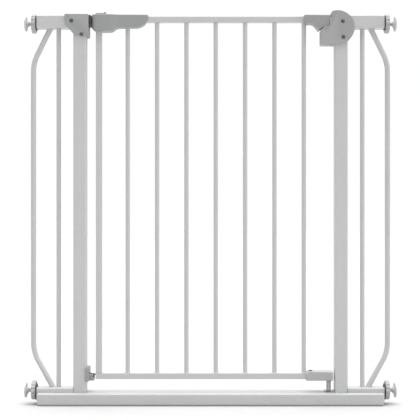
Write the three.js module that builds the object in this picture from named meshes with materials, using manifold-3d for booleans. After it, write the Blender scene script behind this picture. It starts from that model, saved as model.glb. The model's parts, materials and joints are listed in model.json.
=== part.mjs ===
// Pressure-fit stair safety gate with its latch, door hinge and wall spindles.
// Millimetres. X runs along the gate, Y through it (front is -Y), Z up.
// Origin: floor level, middle of the gate's width and depth.

import * as THREE from 'three';
import { mergeVertices } from 'three/addons/utils/BufferGeometryUtils.js';
import Module from 'manifold-3d';

const wasm = await Module();
wasm.setup();

// ---------------------------------------------------------------- driving dimensions
const GAP = 0.3;              // clearance between pieces that touch
const SHELL_SPLIT = 0.15;     // half of the gap between front and rear shells

const BASE = { halfLength: 338, halfDepth: 25, height: 24, wall: 1.6, topEdge: 3, bottomEdge: 5 };
const TUBE = { side: 25.4, wall: 1.5 };
const POST_X = 256.4;
const FRAME_TOP = 764;
const STUB_END = 341;
const BOTTOM_STUB_TOP = 33.5;
const SIDE_BAR = { x: 299, radius: 4.5 };
const OUTER_BAR = { x: 348.7, radius: 5.3, bend: 18, overrun: 12 };
const OUTER_CORNERS = { topX: 315.8, topZ: 672, bottomX: 310.6, bottomZ: 102.7 };

const RAIL = { side: 12, wall: 1.2 };
const RAIL_ENDS = { topLeft: -207, topRight: 197, bottomRight: 224 };
const TOP_RAIL_Z = 756.6;
const BOTTOM_RAIL_Z = 55.5;
const HINGE_X = -219.5;
const BAR = { first: -163, pitch: 57.8, count: 7, radius: 4.5, wall: 1 };
const LIFT = 6;               // how far the door is raised to clear its catch

const SPINDLE = { radius: 3.9, bore: 4.4, start: 300, end: 360, topZ: 748.3, bottomZ: 27.8 };
const PLUG = { radius: 13, out: 343.1, spigot: 10, spigotHalf: 10.9 };
const NUT = { radius: 18.6, from: 343.4, to: 351.2, edge: 1 };
const PAD = { radius: 15, out: 365, rim: 3.2, dish: 4.2, neck: 7.2, dishRadius: 9, neckRadius: 6.2 };

const CASING = { halfDepth: 16, wall: 2.2, left: -286.3, right: -238.8, top: 765.6, bottom: 721.9 };
const COVER = { top: 765.6, flat: 740.2, bulge: 733, barrel: 14.5, barrelBore: 11.8, right: -121.6 };
const ARM = {
  neckHalf: 3.5, bottom: 749, top: 759, eye: 7.5, pinBore: 4.4,
  rootHalf: 4.3, rootBottom: 747.5, rootTop: 760.5,
  flangeHalf: 11, flangeEnd: -234.5, flangeBottom: 742.6, flangeTop: 764.6,
};
const BULGE_FLOOR = 737;      // inside floor of the cover's barrel
const HINGE_PIN = { radius: 4, bottom: 724, top: 762.5 };
const SWITCH = { left: -226, right: -205, bottom: 765.9, top: 769.5, bump: 771.6, halfWidth: 6 };

const HANDLE = {
  left: 182.6, right: 232.8, top: 764.4, bottom: 748, halfDepth: 13, lip: 236.4, lipBottom: 761.6,
};
const BOLT = { left: 200, right: 232.5, bottom: 752, top: 760, halfWidth: 5 };
const SLIDER = { left: 206, right: 219.5, top: 764.9, halfWidth: 5.4 };
const HOUSING = {
  x: 248.8, z: 739.6, radius: 33.1, left: 216.3, notch: 236.8, ledge: 742.1, halfDepth: 16, wall: 2.2,
};
const SHELL_FACE = 2.7;       // thickness of the front and rear faces of the casing and housing

const PIN = { x: 232.6, radius: 4.5, bottom: 25.9, top: 62.9, collar: 6.5, collarZ: 59.7 };
const BRACKET = { left: 188, right: 240, bottom: 47.5, top: 65, halfDepth: 13.5, corner: 8 };
const LOWER_HINGE = {
  back: -246, face: -238, bottom: 46, top: 73.5, halfDepth: 15.5,
  armEnd: -230.8, armBottom: 47.2, armTop: 59.5, armHalf: 9, lipEnd: -228.6, lipTop: 53,
  tongueBottom: 57, tongueHalf: 3.4, eye: 4.5, eyeBore: 3.3,
};
const LOWER_HINGE_PIN = { radius: 3, top: 72 };
const CATCH = { left: 224.6, right: 242.6, halfDepth: 9, thick: 1.2, lugTop: 28.6, lugHalf: 6, lugThick: 2 };
const BUSH = { radius: 6.4, bottom: 45.4, top: 47.2 };

const SCREW = { head: 3.5, headTop: 15.8, headBottom: 14.4, shank: 1.8, end: 3, hole: 2.1, recess: 3.9 };
const CASING_SCREWS = { upper: [-272.2, 752.2], lower: [-252.4, 725.7] };
const HOUSING_SCREWS = { upper: [258.8, 751.1], lower: [259.9, 720.3] };

// ---------------------------------------------------------------- materials
const finish = (color, roughness, metalness) => () =>
  new THREE.MeshStandardMaterial({ color, roughness, metalness });
const powderCoat = finish(0xc9cacb, 0.45, 0.1);
const housingPlastic = finish(0x9d9ea0, 0.5, 0);
const darkPlastic = finish(0x4a4b4d, 0.6, 0);
const nutPlastic = finish(0xb0b1b2, 0.5, 0);
const zincSteel = finish(0xb8babc, 0.35, 0.9);
const blackSteel = finish(0x3c3d3f, 0.4, 0.5);
const clearRubber = finish(0xdedfe0, 0.7, 0);

const gate = new THREE.Group();
gate.name = 'stair_gate';

function add(name, shape, material) {
  const geometry = shape.isBufferGeometry ? shape : toGeometry(shape);
  geometry.computeVertexNormals();
  const mesh = new THREE.Mesh(geometry, material());
  mesh.name = name;
  gate.add(mesh);
}

// ---------------------------------------------------------------- solid helpers
function toSolid(geometry) {
  const bare = geometry.clone();
  bare.deleteAttribute('normal');
  bare.deleteAttribute('uv');
  const merged = mergeVertices(bare, 1e-4);
  return new wasm.Manifold(new wasm.Mesh({
    numProp: 3,
    vertProperties: new Float32Array(merged.attributes.position.array),
    triVerts: new Uint32Array(merged.index.array),
  }));
}

function toGeometry(solid) {
  const { vertProperties, triVerts } = solid.getMesh();
  const geometry = new THREE.BufferGeometry();
  geometry.setAttribute('position', new THREE.BufferAttribute(vertProperties, 3));
  geometry.setIndex(new THREE.BufferAttribute(triVerts, 1));
  return geometry;
}

function box(x0, x1, y0, y1, z0, z1) {
  const geometry = new THREE.BoxGeometry(x1 - x0, y1 - y0, z1 - z0);
  return toSolid(geometry.translate((x0 + x1) / 2, (y0 + y1) / 2, (z0 + z1) / 2));
}

// A solid of revolution about the line through (x, y, z) along 'x', 'y' or 'z'.
// Profile points are [radius, distance along the axis].
function turned(axis, profile, x, y, z, sides = 24) {
  const points = profile.map(([r, h]) => new THREE.Vector2(r, h));
  const geometry = new THREE.LatheGeometry(points, sides);
  if (axis === 'x') geometry.rotateZ(-Math.PI / 2);
  if (axis === 'z') geometry.rotateX(Math.PI / 2);
  return toSolid(geometry.translate(x, y, z));
}

function rod(axis, radius, from, to, x, y, z, sides = 24) {
  return turned(axis, [[0, from], [radius, from], [radius, to], [0, to]], x, y, z, sides);
}

// An outline in the X-Z plane, given depth from y0 to y1.
function slab(outline, y0, y1) {
  const geometry = new THREE.ExtrudeGeometry(outline, {
    depth: y1 - y0, bevelEnabled: false, curveSegments: 7,
  });
  return toSolid(geometry.rotateX(Math.PI / 2).translate(0, y1, 0));
}

// An outline in the X-Y plane, raised from z0 to z1.
function column(shape, z0, z1) {
  const geometry = new THREE.ExtrudeGeometry(shape, { depth: z1 - z0, bevelEnabled: false, curveSegments: 7 });
  return toSolid(geometry.translate(0, 0, z0));
}

function roundedRect(x0, x1, y0, y1, radius) {
  const shape = new THREE.Shape();
  shape.moveTo(x0 + radius, y0);
  shape.lineTo(x1 - radius, y0);
  shape.absarc(x1 - radius, y0 + radius, radius, -Math.PI / 2, 0, false);
  shape.lineTo(x1, y1 - radius);
  shape.absarc(x1 - radius, y1 - radius, radius, 0, Math.PI / 2, false);
  shape.lineTo(x0 + radius, y1);
  shape.absarc(x0 + radius, y1 - radius, radius, Math.PI / 2, Math.PI, false);
  shape.lineTo(x0, y0 + radius);
  shape.absarc(x0 + radius, y0 + radius, radius, Math.PI, Math.PI * 1.5, false);
  return shape;
}

// A hollow round bar, following points one straight step at a time.
class SteppedPath extends THREE.Curve {
  constructor(points) {
    super();
    this.points = points;
  }
  getPoint(t) {
    const place = Math.min(t, 1) * (this.points.length - 1);
    const i = Math.min(Math.floor(place), this.points.length - 2);
    return this.points[i].clone().lerp(this.points[i + 1], place - i);
  }
  getPointAt(u) {
    return this.getPoint(u);
  }
  getTangentAt(u) {
    const i = Math.round(u * (this.points.length - 1));
    const before = this.points[Math.max(i - 1, 0)];
    const after = this.points[Math.min(i + 1, this.points.length - 1)];
    return after.clone().sub(before).normalize();
  }
}

function hollowBar(points, radius, wall, halfSides = 8) {
  const ring = new THREE.Shape().absarc(0, 0, radius, 0, Math.PI * 2, false);
  ring.holes.push(new THREE.Path().absarc(0, 0, radius - wall, 0, Math.PI * 2, true));
  return new THREE.ExtrudeGeometry(ring, {
    extrudePath: new SteppedPath(points),
    steps: points.length - 1,
    curveSegments: halfSides,
    bevelEnabled: false,
  });
}

function uprightBar(x, z0, z1, radius) {
  const geometry = hollowBar([new THREE.Vector3(0, 0, z0), new THREE.Vector3(0, 0, z1)], radius, BAR.wall);
  return geometry.translate(x, 0, 0);
}

function boxTube(axis, from, to, x, z, side, wall) {
  const half = side / 2;
  const inner = half - wall;
  if (axis === 'x') {
    return box(from, to, -half, half, z - half, z + half)
      .subtract(box(from - 1, to + 1, -inner, inner, z - inner, z + inner));
  }
  return box(x - half, x + half, -half, half, from, to)
    .subtract(box(x - inner, x + inner, -inner, inner, from - 1, to + 1));
}

// ---------------------------------------------------------------- fixed frame
const TUBE_HALF = TUBE.side / 2;
const POST_IN = POST_X - TUBE_HALF;
const POST_OUT = POST_X + TUBE_HALF;

function baseRail() {
  const outer = new THREE.Shape();
  const { halfDepth: d, height: h, topEdge: t, bottomEdge: b } = BASE;
  outer.moveTo(-d + b, 0);
  outer.lineTo(d - b, 0);
  outer.absarc(d - b, b, b, -Math.PI / 2, 0, false);
  outer.lineTo(d, h - t);
  outer.absarc(d - t, h - t, t, 0, Math.PI / 2, false);
  outer.lineTo(-d + t, h);
  outer.absarc(-d + t, h - t, t, Math.PI / 2, Math.PI, false);
  outer.lineTo(-d, b);
  outer.absarc(-d + b, b, b, Math.PI, Math.PI * 1.5, false);
  const profile = new THREE.ExtrudeGeometry(outer, {
    depth: 2 * BASE.halfLength, bevelEnabled: false, curveSegments: 6,
  });
  profile.rotateX(Math.PI / 2).rotateZ(Math.PI / 2).translate(-BASE.halfLength, 0, 0);
  const w = BASE.wall;
  const inside = box(-BASE.halfLength + w, BASE.halfLength - w, -d + w + 2, d - w - 2, w, h - w);
  const seat = TUBE_HALF + GAP;
  const seatFloor = BOTTOM_STUB_TOP - TUBE.side - GAP;
  const seatFor = (side) => box(
    Math.min(side * (POST_IN - GAP), side * (BASE.halfLength + 2)),
    Math.max(side * (POST_IN - GAP), side * (BASE.halfLength + 2)),
    -seat, seat, seatFloor, h + 2,
  );
  const catchHole = rod('z', PIN.radius + 0.7, h - 4, h + 2, PIN.x, 0, 0);
  return toSolid(profile).subtract(inside).subtract(seatFor(-1)).subtract(seatFor(1)).subtract(catchHole);
}

function screwHole([x, z]) {
  return rod('y', SCREW.hole, -TUBE_HALF - 1, 0, x, 0, z, 16);
}

function post(side) {
  const x = side * POST_X;
  const bottom = BASE.wall + GAP;
  const inner = TUBE_HALF - TUBE.wall;
  return box(x - TUBE_HALF, x + TUBE_HALF, -TUBE_HALF, TUBE_HALF, bottom, FRAME_TOP)
    .subtract(box(x - inner, x + inner, -inner, inner, bottom - 1, FRAME_TOP - TUBE.wall));
}

function stub(side, top) {
  const near = side * (POST_OUT + GAP);
  const far = side * STUB_END;
  return boxTube('x', Math.min(near, far), Math.max(near, far), 0, top - TUBE_HALF, TUBE.side, TUBE.wall);
}

// Round bar outside the posts: straight down, leaning in to the stubs at both ends.
function outerBar(side) {
  const { x, radius, bend, overrun } = OUTER_BAR;
  const at = (px, pz) => new THREE.Vector3(side * px, 0, pz);
  const topCorner = at(x, OUTER_CORNERS.topZ);
  const bottomCorner = at(x, OUTER_CORNERS.bottomZ);
  const stubUnderside = FRAME_TOP - TUBE.side;
  const topLean = at(OUTER_CORNERS.topX, stubUnderside).sub(topCorner).normalize();
  const bottomLean = at(OUTER_CORNERS.bottomX, BOTTOM_STUB_TOP).sub(bottomCorner).normalize();
  const down = new THREE.Vector3(0, 0, -1);
  const rounded = (corner, inDir, outDir) => new THREE.QuadraticBezierCurve3(
    corner.clone().addScaledVector(inDir, bend), corner, corner.clone().addScaledVector(outDir, bend),
  ).getPoints(4);
  const points = [
    at(OUTER_CORNERS.topX, stubUnderside).addScaledVector(topLean, overrun),
    ...rounded(topCorner, topLean, down),
    ...rounded(bottomCorner, down.clone().negate(), bottomLean),
    at(OUTER_CORNERS.bottomX, BOTTOM_STUB_TOP).addScaledVector(bottomLean, overrun),
  ];
  const bar = toSolid(hollowBar(points, radius, BAR.wall, 6));
  const reach = x + 20;
  return bar.intersect(box(-reach, reach, -20, 20, BOTTOM_STUB_TOP + GAP, stubUnderside - GAP));
}

function buildFrame() {
  add('base_rail', baseRail(), powderCoat);
  add('post_left', post(-1).subtract(screwHole(CASING_SCREWS.lower)), powderCoat);
  add('post_right', post(1).subtract(screwHole(HOUSING_SCREWS.upper))
    .subtract(screwHole(HOUSING_SCREWS.lower)), powderCoat);
  add('stub_top_left', stub(-1, FRAME_TOP).subtract(screwHole(CASING_SCREWS.upper)), powderCoat);
  add('stub_top_right', stub(1, FRAME_TOP), powderCoat);
  add('stub_bottom_left', stub(-1, BOTTOM_STUB_TOP), powderCoat);
  add('stub_bottom_right', stub(1, BOTTOM_STUB_TOP), powderCoat);
  for (const [side, word] of [[-1, 'left'], [1, 'right']]) {
    const barTop = FRAME_TOP - TUBE.side - GAP;
    const sideBar = uprightBar(side * SIDE_BAR.x, BOTTOM_STUB_TOP + GAP, barTop, SIDE_BAR.radius);
    add(`side_bar_${word}`, sideBar, powderCoat);
    add(`outer_bar_${word}`, outerBar(side), powderCoat);
  }
}

// ---------------------------------------------------------------- wall spindles
function endPlug(side, spindleZ, tubeTop) {
  const tubeZ = tubeTop - TUBE_HALF;
  const { spigot, spigotHalf: half } = PLUG;
  const from = side * (STUB_END - spigot);
  const to = side * (STUB_END + GAP + 1);
  const body = box(Math.min(from, to), Math.max(from, to), -half, half, tubeZ - half, tubeZ + half);
  const lip = box(
    Math.min(side * (STUB_END + GAP), side * PLUG.out), Math.max(side * (STUB_END + GAP), side * PLUG.out),
    -half, half, tubeZ - half, tubeZ + half,
  );
  const disc = rod('x', PLUG.radius, STUB_END + GAP, PLUG.out, 0, 0, 0);
  const bore = rod('x', SPINDLE.bore, STUB_END - spigot - 1, PLUG.out + 1, 0, 0, 0);
  const place = (solid) => (side > 0 ? solid : solid.mirror([1, 0, 0])).translate([0, 0, spindleZ]);
  return body.add(lip).add(place(disc)).subtract(place(bore));
}

function adjustingNut() {
  const { radius: r, from, to, edge } = NUT;
  return turned('x', [
    [SPINDLE.bore, from], [r - edge, from], [r, from + edge], [r, to - edge],
    [r - edge, to], [SPINDLE.bore, to], [SPINDLE.bore, from],
  ], 0, 0, 0, 24);
}

function wallPad() {
  const { radius: r, out, rim, dish, neck, dishRadius, neckRadius } = PAD;
  const tip = SPINDLE.end + GAP;
  return turned('x', [
    [0, tip], [SPINDLE.bore, tip], [SPINDLE.bore, out - neck],
    [neckRadius, out - neck], [dishRadius, out - dish],
    [r - 0.6, out - rim], [r, out - 1], [r - 0.8, out], [0, out],
  ], 0, 0, 0, 20);
}

function buildSpindles() {
  const corners = [
    ['top_left', -1, SPINDLE.topZ, FRAME_TOP],
    ['top_right', 1, SPINDLE.topZ, FRAME_TOP],
    ['bottom_left', -1, SPINDLE.bottomZ, BOTTOM_STUB_TOP],
    ['bottom_right', 1, SPINDLE.bottomZ, BOTTOM_STUB_TOP],
  ];
  for (const [word, side, z, tubeTop] of corners) {
    const place = (solid) => (side > 0 ? solid : solid.mirror([1, 0, 0])).translate([0, 0, z]);
    add(`end_plug_${word}`, endPlug(side, z, tubeTop), darkPlastic);
    add(`adjusting_nut_${word}`, place(adjustingNut()), nutPlastic);
    const spindle = rod('x', SPINDLE.radius, SPINDLE.start, SPINDLE.end, 0, 0, 0, 16);
    add(`threaded_rod_${word}`, place(spindle), zincSteel);
    add(`wall_pad_${word}`, place(wallPad()), clearRubber);
  }
}

// ---------------------------------------------------------------- screws
function screw([x, z]) {
  const profile = [
    [0, -SCREW.headTop], [SCREW.head, -SCREW.headTop], [SCREW.head, -SCREW.headBottom],
    [SCREW.shank, -SCREW.headBottom], [SCREW.shank, -SCREW.end], [0, -SCREW.end],
  ];
  return turned('y', profile, x, 0, z, 16);
}

function screwSeat([x, z]) {
  const through = rod('y', SCREW.hole, -20, -5, x, 0, z, 16);
  return through.add(rod('y', SCREW.recess, -20, -SCREW.headBottom + GAP, x, 0, z, 16));
}

// ---------------------------------------------------------------- upper hinge
function casingOutline(wall = 0) {
  const left = CASING.left + wall;
  const right = CASING.right - wall;
  const top = CASING.top - wall;
  const bottom = CASING.bottom + wall;
  const shape = new THREE.Shape();
  shape.moveTo(right, top - 1);
  shape.lineTo(right - 1, top);
  shape.lineTo(left + 3, top);
  shape.quadraticCurveTo(left, top, left, top - 3.6);
  shape.bezierCurveTo(left - 0.7, top - 21.6, left + 14.3, bottom + 2.1, left + 39.6, bottom);
  shape.lineTo(right - 3, bottom);
  shape.quadraticCurveTo(right, bottom, right, bottom + 3);
  return shape;
}

function hingeCasing() {
  const { halfDepth: d, wall } = CASING;
  const seat = TUBE_HALF + GAP;
  const postSeat = box(-POST_OUT - GAP, -POST_IN + GAP, -seat, seat, 700, FRAME_TOP + GAP);
  const stubSeat = box(-300, -POST_OUT, -seat, seat, FRAME_TOP - TUBE.side - GAP, FRAME_TOP + GAP);
  const armWindow = box(-POST_IN, CASING.right + 2, -ARM.rootHalf - GAP, ARM.rootHalf + GAP,
    ARM.rootBottom - GAP, ARM.rootTop + GAP);
  const hollow = slab(casingOutline(wall), -d + SHELL_FACE, d - SHELL_FACE);
  return slab(casingOutline(), -d, d).subtract(hollow).subtract(postSeat).subtract(stubSeat)
    .subtract(armWindow).subtract(screwSeat(CASING_SCREWS.upper)).subtract(screwSeat(CASING_SCREWS.lower));
}

function hingeArm() {
  const { neckHalf, bottom, top, eye, pinBore, flangeHalf, flangeEnd } = ARM;
  const face = CASING.right + GAP;
  const root = box(-POST_IN + GAP, face, -ARM.rootHalf, ARM.rootHalf, ARM.rootBottom, ARM.rootTop);
  const flange = box(face, flangeEnd, -flangeHalf, flangeHalf, ARM.flangeBottom, ARM.flangeTop);
  const neck = box(flangeEnd - 0.2, HINGE_X, -neckHalf, neckHalf, bottom, top);
  const knuckle = rod('z', eye, bottom, top, HINGE_X, 0, 0);
  const bore = rod('z', pinBore, bottom - 1, top + 1, HINGE_X, 0, 0);
  return root.add(flange).add(neck).add(knuckle).subtract(bore);
}

function coverOutline() {
  const { top, flat, bulge, right } = COVER;
  const left = HINGE_X - COVER.barrel;
  const shape = new THREE.Shape();
  shape.moveTo(left, top - 2);
  shape.quadraticCurveTo(left, top, left + 2, top);
  shape.lineTo(right - 4.4, top);
  shape.quadraticCurveTo(right, top, right, top - 4.6);
  shape.bezierCurveTo(right - 1.9, top - 14.6, right - 11.4, flat + 0.2, right - 26.4, flat);
  shape.lineTo(right - 58.4, flat);
  shape.bezierCurveTo(right - 66.4, flat, right - 68.4, bulge, right - 76.4, bulge);
  shape.lineTo(left + 16, bulge);
  shape.bezierCurveTo(left + 6, bulge, left, bulge + 4, left, bulge + 11);
  return shape;
}

function coverPlan() {
  const { barrel, right } = COVER;
  const shape = new THREE.Shape();
  shape.moveTo(HINGE_X, -barrel);
  shape.lineTo(HINGE_X + 20, -barrel);
  shape.bezierCurveTo(HINGE_X + 30, -barrel, HINGE_X + 34, -10.6, HINGE_X + 46, -10.4);
  shape.lineTo(right - 4, -9.6);
  shape.quadraticCurveTo(right, -9.6, right, -5.6);
  shape.lineTo(right, 5.6);
  shape.quadraticCurveTo(right, 9.6, right - 4, 9.6);
  shape.lineTo(HINGE_X + 46, 10.4);
  shape.bezierCurveTo(HINGE_X + 34, 10.6, HINGE_X + 30, barrel, HINGE_X + 20, barrel);
  shape.lineTo(HINGE_X, barrel);
  shape.absarc(HINGE_X, 0, barrel, Math.PI / 2, Math.PI * 1.5, false);
  return shape;
}

function hingeCover() {
  const railHalf = RAIL.side / 2 + GAP;
  const outer = slab(coverOutline(), -20, 20).intersect(column(coverPlan(), 700, 800));
  const barrelRoom = rod('z', COVER.barrelBore, BULGE_FLOOR, COVER.top - 2.4, HINGE_X, 0, 0, 28);
  const railChannel = box(HINGE_X + 10, COVER.right + 2, -railHalf, railHalf,
    TOP_RAIL_Z - railHalf, TOP_RAIL_Z + railHalf);
  const uprightSeat = box(HINGE_X - railHalf, HINGE_X + railHalf, -railHalf, railHalf, 730, BULGE_FLOOR + 0.2);
  const barHole = rod('z', BAR.radius + GAP, 735, TOP_RAIL_Z, BAR.first, 0, 0);
  const armWindow = box(HINGE_X - 20, HINGE_X + ARM.neckHalf + 0.8, -ARM.neckHalf - 0.7, 20,
    ARM.bottom - LIFT - 0.8, ARM.top + 0.8);
  const switchSlot = box(-217.4, -208.6, -2.4, 2.4, COVER.top - 4, COVER.top + 2);
  return outer.subtract(barrelRoom).subtract(railChannel).subtract(uprightSeat)
    .subtract(barHole).subtract(armWindow).subtract(switchSlot);
}

function stayOpenSwitch() {
  const { left, right, bottom, top, bump, halfWidth: w } = SWITCH;
  const plate = column(roundedRect(left, right, -w, w, 3), bottom, top);
  const thumb = box(right - 4.8, right - 0.2, -w + 2, w - 2, top - 1, bump);
  const stem = box(-217, -213, -2, 2, COVER.top - 2, bottom + 1);
  return plate.add(thumb).add(stem);
}

function frontHalf(solid) {
  return solid.intersect(box(-400, 400, -40, -SHELL_SPLIT, 600, 900));
}

function rearHalf(solid) {
  return solid.intersect(box(-400, 400, SHELL_SPLIT, 40, 600, 900));
}

function buildUpperHinge() {
  const casing = hingeCasing();
  const cover = hingeCover();
  add('hinge_casing_front', frontHalf(casing), housingPlastic);
  add('hinge_casing_rear', rearHalf(casing), housingPlastic);
  add('casing_screw_upper', screw(CASING_SCREWS.upper), blackSteel);
  add('casing_screw_lower', screw(CASING_SCREWS.lower), blackSteel);
  add('hinge_arm', hingeArm(), darkPlastic);
  add('hinge_pin', rod('z', HINGE_PIN.radius, HINGE_PIN.bottom, HINGE_PIN.top, HINGE_X, 0, 0), zincSteel);
  add('hinge_cover_front', frontHalf(cover), housingPlastic);
  add('hinge_cover_rear', rearHalf(cover), housingPlastic);
  add('stay_open_switch', stayOpenSwitch(), housingPlastic);
}

// ---------------------------------------------------------------- latch
function handleOutline() {
  const { left, right, top, bottom } = HANDLE;
  const web = { leftX: 201.5, tipX: 213, tipZ: 734.4, ledgeX: 222.2, ledgeZ: 742.6 };
  const shape = new THREE.Shape();
  shape.moveTo(left, bottom + 2.5);
  shape.lineTo(left, top - 2.5);
  shape.quadraticCurveTo(left, top, left + 2.5, top);
  shape.lineTo(HANDLE.lip, top);
  shape.lineTo(HANDLE.lip, HANDLE.lipBottom);
  shape.lineTo(right, HANDLE.lipBottom);
  shape.lineTo(right, web.ledgeZ);
  shape.lineTo(web.ledgeX, web.ledgeZ);
  shape.lineTo(web.tipX, web.tipZ);
  shape.lineTo(web.leftX, bottom);
  shape.lineTo(left + 2.5, bottom);
  shape.quadraticCurveTo(left, bottom, left, bottom + 2.5);
  return shape;
}

function handle() {
  const { halfDepth: d, right, top } = HANDLE;
  const railHalf = RAIL.side / 2 + GAP;
  const lastBarX = BAR.first + BAR.pitch * (BAR.count - 1);
  const railChannel = box(HANDLE.left - 10, RAIL_ENDS.topRight + GAP, -railHalf, railHalf,
    TOP_RAIL_Z - railHalf, TOP_RAIL_Z + railHalf);
  const barHole = rod('z', BAR.radius + GAP, 740, TOP_RAIL_Z, lastBarX, 0, 0);
  const boltChannel = box(BOLT.left - 0.7, right + 2, -BOLT.halfWidth - GAP, BOLT.halfWidth + GAP,
    BOLT.bottom - GAP, BOLT.top + GAP);
  const sliderSlot = box(SLIDER.left - 0.5, 229.2, -SLIDER.halfWidth - 0.4, SLIDER.halfWidth + 0.4,
    BOLT.top, top + 2);
  return slab(handleOutline(), -d, d).subtract(railChannel).subtract(barHole)
    .subtract(boltChannel).subtract(sliderSlot);
}

function thumbSlider() {
  const { left, right, top, halfWidth: w } = SLIDER;
  let body = box(left, right, -w, w, BOLT.top + GAP, top);
  const grooves = 3;
  const pitch = (right - left) / (grooves + 1);
  for (let i = 1; i <= grooves; i += 1) {
    const x = left + i * pitch;
    body = body.subtract(box(x - 0.7, x + 0.7, -w - 1, w + 1, top - 0.9, top + 1));
  }
  return body;
}

function topBolt() {
  const { left, right, bottom, top, halfWidth: w } = BOLT;
  const nose = 2;
  const plan = new THREE.Shape();
  plan.moveTo(left, -w);
  plan.lineTo(right - nose, -w);
  plan.lineTo(right, -w + nose);
  plan.lineTo(right, w - nose);
  plan.lineTo(right - nose, w);
  plan.lineTo(left, w);
  return column(plan, bottom, top);
}

// A round dome with a squared lower-left corner, notched where the handle ends.
function housingOutline(wall = 0) {
  const { x, z } = HOUSING;
  const radius = HOUSING.radius - wall;
  const left = HOUSING.left + wall;
  const notch = HOUSING.notch + wall;
  const ledge = HOUSING.ledge - wall;
  const slotX = left + 7.5;
  const domeStart = Math.acos((notch + 2.2 - x) / radius);
  const domeTopZ = z + radius * Math.sin(domeStart);
  const shape = new THREE.Shape();
  shape.moveTo(left, z - radius);
  shape.lineTo(x, z - radius);
  shape.absarc(x, z, radius, -Math.PI / 2, domeStart, false);
  shape.quadraticCurveTo(notch, domeTopZ - 0.4, notch, domeTopZ - 3);
  shape.lineTo(notch, ledge);
  shape.lineTo(slotX, ledge);
  shape.lineTo(left, ledge - 7.5);
  return shape;
}

function latchHousing() {
  const { halfDepth: d, wall, notch } = HOUSING;
  const seat = TUBE_HALF + GAP;
  const postSeat = box(POST_IN - GAP, POST_OUT + GAP, -seat, seat, 690, FRAME_TOP + GAP);
  const stubSeat = box(POST_OUT, 300, -seat, seat, FRAME_TOP - TUBE.side - GAP, FRAME_TOP + GAP);
  const play = 0.4;
  const boltWindow = box(notch - 1, POST_IN, -BOLT.halfWidth - play, BOLT.halfWidth + play,
    BOLT.bottom - play, BOLT.top + play);
  const hollow = slab(housingOutline(wall), -d + SHELL_FACE, d - SHELL_FACE);
  return slab(housingOutline(), -d, d).subtract(hollow).subtract(postSeat).subtract(stubSeat)
    .subtract(boltWindow).subtract(screwSeat(HOUSING_SCREWS.upper)).subtract(screwSeat(HOUSING_SCREWS.lower));
}

function buildLatch() {
  const grip = handle();
  const housing = latchHousing();
  add('handle_front', frontHalf(grip), housingPlastic);
  add('handle_rear', rearHalf(grip), housingPlastic);
  add('thumb_slider', thumbSlider(), darkPlastic);
  add('top_bolt', topBolt(), zincSteel);
  add('latch_housing_front', frontHalf(housing), housingPlastic);
  add('latch_housing_rear', rearHalf(housing), housingPlastic);
  add('housing_screw_upper', screw(HOUSING_SCREWS.upper), blackSteel);
  add('housing_screw_lower', screw(HOUSING_SCREWS.lower), blackSteel);
}

// ---------------------------------------------------------------- lower hinge and lower catch
// A clip round the post, an arm, and a thin tongue that reaches into the open end of the door's bottom rail.
function lowerHingeBracket() {
  const hinge = LOWER_HINGE;
  const seat = TUBE_HALF + GAP;
  const clip = box(hinge.back, hinge.face, -hinge.halfDepth, hinge.halfDepth, hinge.bottom, hinge.top)
    .subtract(box(hinge.back - 4, -POST_IN + GAP, -seat, seat, hinge.bottom - 1, hinge.top + 1));
  const arm = box(hinge.face - 1, hinge.armEnd, -hinge.armHalf, hinge.armHalf, hinge.armBottom, hinge.armTop);
  const lip = box(hinge.armEnd - 1, hinge.lipEnd, -hinge.armHalf, hinge.armHalf, hinge.armBottom, hinge.lipTop);
  const tongue = box(hinge.armEnd - 1, HINGE_X, -hinge.tongueHalf, hinge.tongueHalf,
    hinge.tongueBottom, hinge.armTop);
  const eye = rod('z', hinge.eye, hinge.tongueBottom, hinge.armTop, HINGE_X, 0, 0);
  const bore = rod('z', hinge.eyeBore, hinge.tongueBottom - 1, hinge.armTop + 1, HINGE_X, 0, 0);
  return clip.add(arm).add(lip).add(tongue).add(eye).subtract(bore);
}

function lowerHingePin() {
  const { radius: r, top } = LOWER_HINGE_PIN;
  const bottom = LOWER_HINGE.tongueBottom;
  return turned('z', [[0, bottom], [r, bottom], [r, top - 1], [r - 1, top], [0, top]], HINGE_X, 0, 0);
}

function lowerLatchBracket() {
  const { left, right, bottom, top, halfDepth: d, corner } = BRACKET;
  const railHalf = RAIL.side / 2 + GAP;
  const shape = new THREE.Shape();
  shape.moveTo(left, bottom);
  shape.lineTo(right, bottom);
  shape.lineTo(right, top);
  shape.lineTo(left + corner, top);
  shape.absarc(left + corner, top - corner, corner, Math.PI / 2, Math.PI, false);
  const railChannel = box(left - 1, RAIL_ENDS.bottomRight + GAP, -railHalf, railHalf,
    BOTTOM_RAIL_Z - railHalf, BOTTOM_RAIL_Z + railHalf);
  const play = 0.4;
  const floor = bottom + 2.2;
  const pinRoom = rod('z', PIN.collar + 0.5, floor, PIN.top + play, PIN.x, 0, 0);
  const pinHole = rod('z', PIN.radius + play, bottom - 1, floor + 1, PIN.x, 0, 0);
  return slab(shape, -d, d).subtract(railChannel).subtract(pinRoom).subtract(pinHole);
}

function lowerPin() {
  const { radius, bottom, top, collar, collarZ } = PIN;
  return turned('z', [
    [0, bottom], [radius - 1, bottom], [radius, bottom + 1], [radius, collarZ], [collar, collarZ],
    [collar, collarZ + 2], [radius, collarZ + 2], [radius, top], [0, top],
  ], PIN.x, 0, 0);
}

function pinBush() {
  const { radius: outer, bottom, top } = BUSH;
  const inner = PIN.radius + 0.4;
  return turned('z', [[inner, bottom], [outer, bottom], [outer, top], [inner, top], [inner, bottom]], PIN.x, 0, 0);
}

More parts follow.
